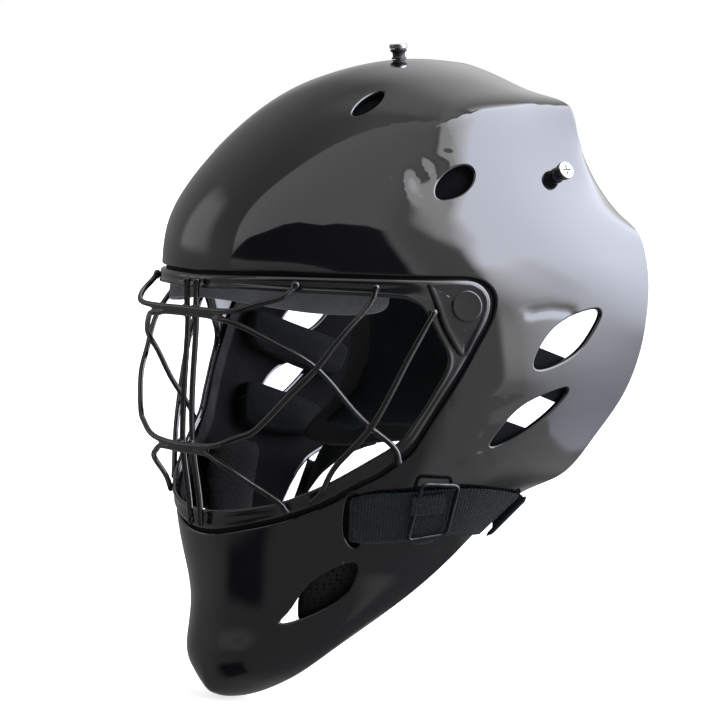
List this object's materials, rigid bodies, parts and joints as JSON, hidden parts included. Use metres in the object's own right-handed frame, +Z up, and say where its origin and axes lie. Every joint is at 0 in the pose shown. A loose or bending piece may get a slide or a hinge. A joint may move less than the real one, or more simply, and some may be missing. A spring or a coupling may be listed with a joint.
{
  "type": "goalie face mask",
  "caption": "Gloss black goalie face mask: moulded shell with oval vents, wire cage bolted over the face opening, foam liner, elastic harness with wire buckles.",
  "frame": {"origin": "middle of the wearer's head inside the mask, on the symmetry plane", "axes": "+Z up, -Y out of the face opening, +X to the wearer's left"},
  "size_m": [0.231, 0.1991, 0.3156],
  "materials": {
    "liner_foam": "closed-cell foam, matt",
    "plate_plastic": "fine grain black",
    "cage_wire_black": "black coating",
    "buckle_steel": "dark nickel wire",
    "cage_frame_gloss": "gloss black coating",
    "chin_soft": "soft padded cup",
    "clip_plastic": "smooth black",
    "webbing_elastic": "woven elastic webbing",
    "liner_mesh": "perforated mesh over foam",
    "shell_gloss": "high gloss black lacquer",
    "bright_steel": "bright zinc",
    "sleeve_black": "black rubber",
    "brow_felt": "grey felt-like sweatband"
  },
  "bodies": {
    "mask": {"bar_centre_left": "cage_wire_black", "bar_centre_right": "cage_wire_black", "cage_band": "cage_frame_gloss", "chin_cup": "chin_soft", "clip_cover_left": "clip_plastic", "clip_cover_right": "clip_plastic", "clip_plate_left": "clip_plastic", "clip_plate_right": "clip_plastic", "crown_pad_left": "liner_foam", "crown_pad_right": "liner_foam", "crown_strap": "webbing_elastic", "ear_pad_left": "liner_foam", "ear_pad_right": "liner_foam", "forehead_pad": "liner_foam", "jaw_pad_left": "liner_mesh", "jaw_pad_right": "liner_mesh", "lower_strap_left": "webbing_elastic", "lower_strap_right": "webbing_elastic", "rear_pad_left": "liner_foam", "rear_pad_right": "liner_foam", "rear_strap_left": "webbing_elastic", "rear_strap_right": "webbing_elastic", "shell": "shell_gloss", "side_strap_left": "webbing_elastic", "side_strap_right": "webbing_elastic", "stud_nut_crown": "bright_steel", "stud_nut_left": "bright_steel", "stud_nut_right": "bright_steel", "stud_screw_crown": "bright_steel", "stud_screw_left": "bright_steel", "stud_screw_right": "bright_steel", "stud_sleeve_crown": "sleeve_black", "stud_sleeve_left": "sleeve_black", "stud_sleeve_right": "sleeve_black", "sweatband": "brow_felt", "temple_pad_left": "liner_foam", "temple_pad_right": "liner_foam", "wire_diagonal_left": "cage_wire_black", "wire_diagonal_right": "cage_wire_black", "wire_lower_left": "cage_wire_black", "wire_lower_right": "cage_wire_black", "wire_main": "cage_wire_black", "wire_outer_left": "cage_wire_black", "wire_outer_right": "cage_wire_black", "wire_upper": "cage_wire_black"},
    "buckle_left": {"buckle_left": "buckle_steel"},
    "buckle_right": {"buckle_right": "buckle_steel"},
    "rear_harness": {"back_plate": "plate_plastic", "back_pad": "liner_foam"}
  },
  "joints": [
    {"name": "buckle_left_slide", "type": "slide", "parent": "mask", "child": "buckle_left", "axis": [0.2979, 0.9525, 0.063], "range_m": [-0.012, 0.008]},
    {"name": "buckle_right_slide", "type": "slide", "parent": "mask", "child": "buckle_right", "axis": [-0.2979, 0.9525, 0.063], "range_m": [-0.012, 0.008]},
    {"name": "harness_pull", "type": "slide", "parent": "mask", "child": "rear_harness", "axis": [0, 1, 0], "range_m": [0, 0.03], "stiffness_N_per_m": 150, "deforming": ["crown_strap", "side_strap_left", "side_strap_right", "rear_strap_left", "rear_strap_right"]}
  ]
}
